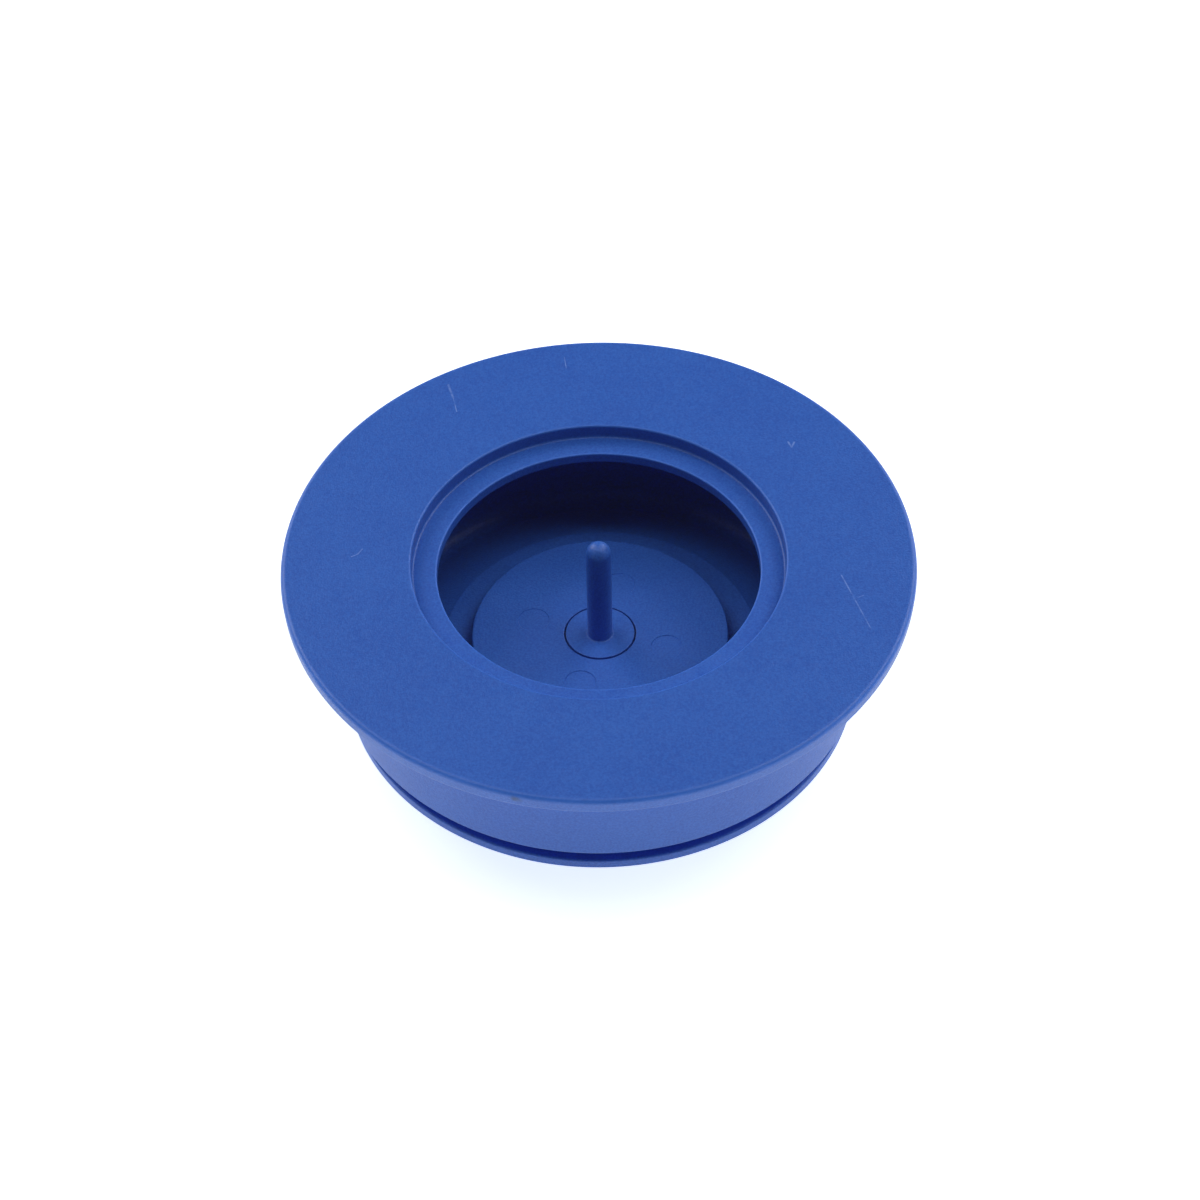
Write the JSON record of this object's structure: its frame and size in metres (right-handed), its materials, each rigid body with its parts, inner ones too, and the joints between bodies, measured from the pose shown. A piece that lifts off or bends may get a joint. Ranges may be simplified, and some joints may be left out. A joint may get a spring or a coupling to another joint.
{
  "type": "flanged round housing with centre pin",
  "caption": "Round flanged plastic housing: stepped mouth over a wider chamber, stepped floor with a slender round-tipped centre pin, short skirt, open groove and thin foot lip.",
  "frame": {"origin": "centre of the flat foot, on the surface that the housing stands on", "axes": "+Z along the axis of revolution, up out of the mouth; +Y away from the front, +X to the right"},
  "size_m": [0.1, 0.1, 0.0293],
  "materials": {
    "collar_plastic": "fine matte moulded surface",
    "base_plastic": "fine matte moulded surface",
    "pin_plastic": "fine matte moulded surface"
  },
  "bodies": {
    "root": {"flange_collar": "collar_plastic", "stepped_base": "base_plastic", "centre_pin": "pin_plastic"}
  },
  "joints": []
}
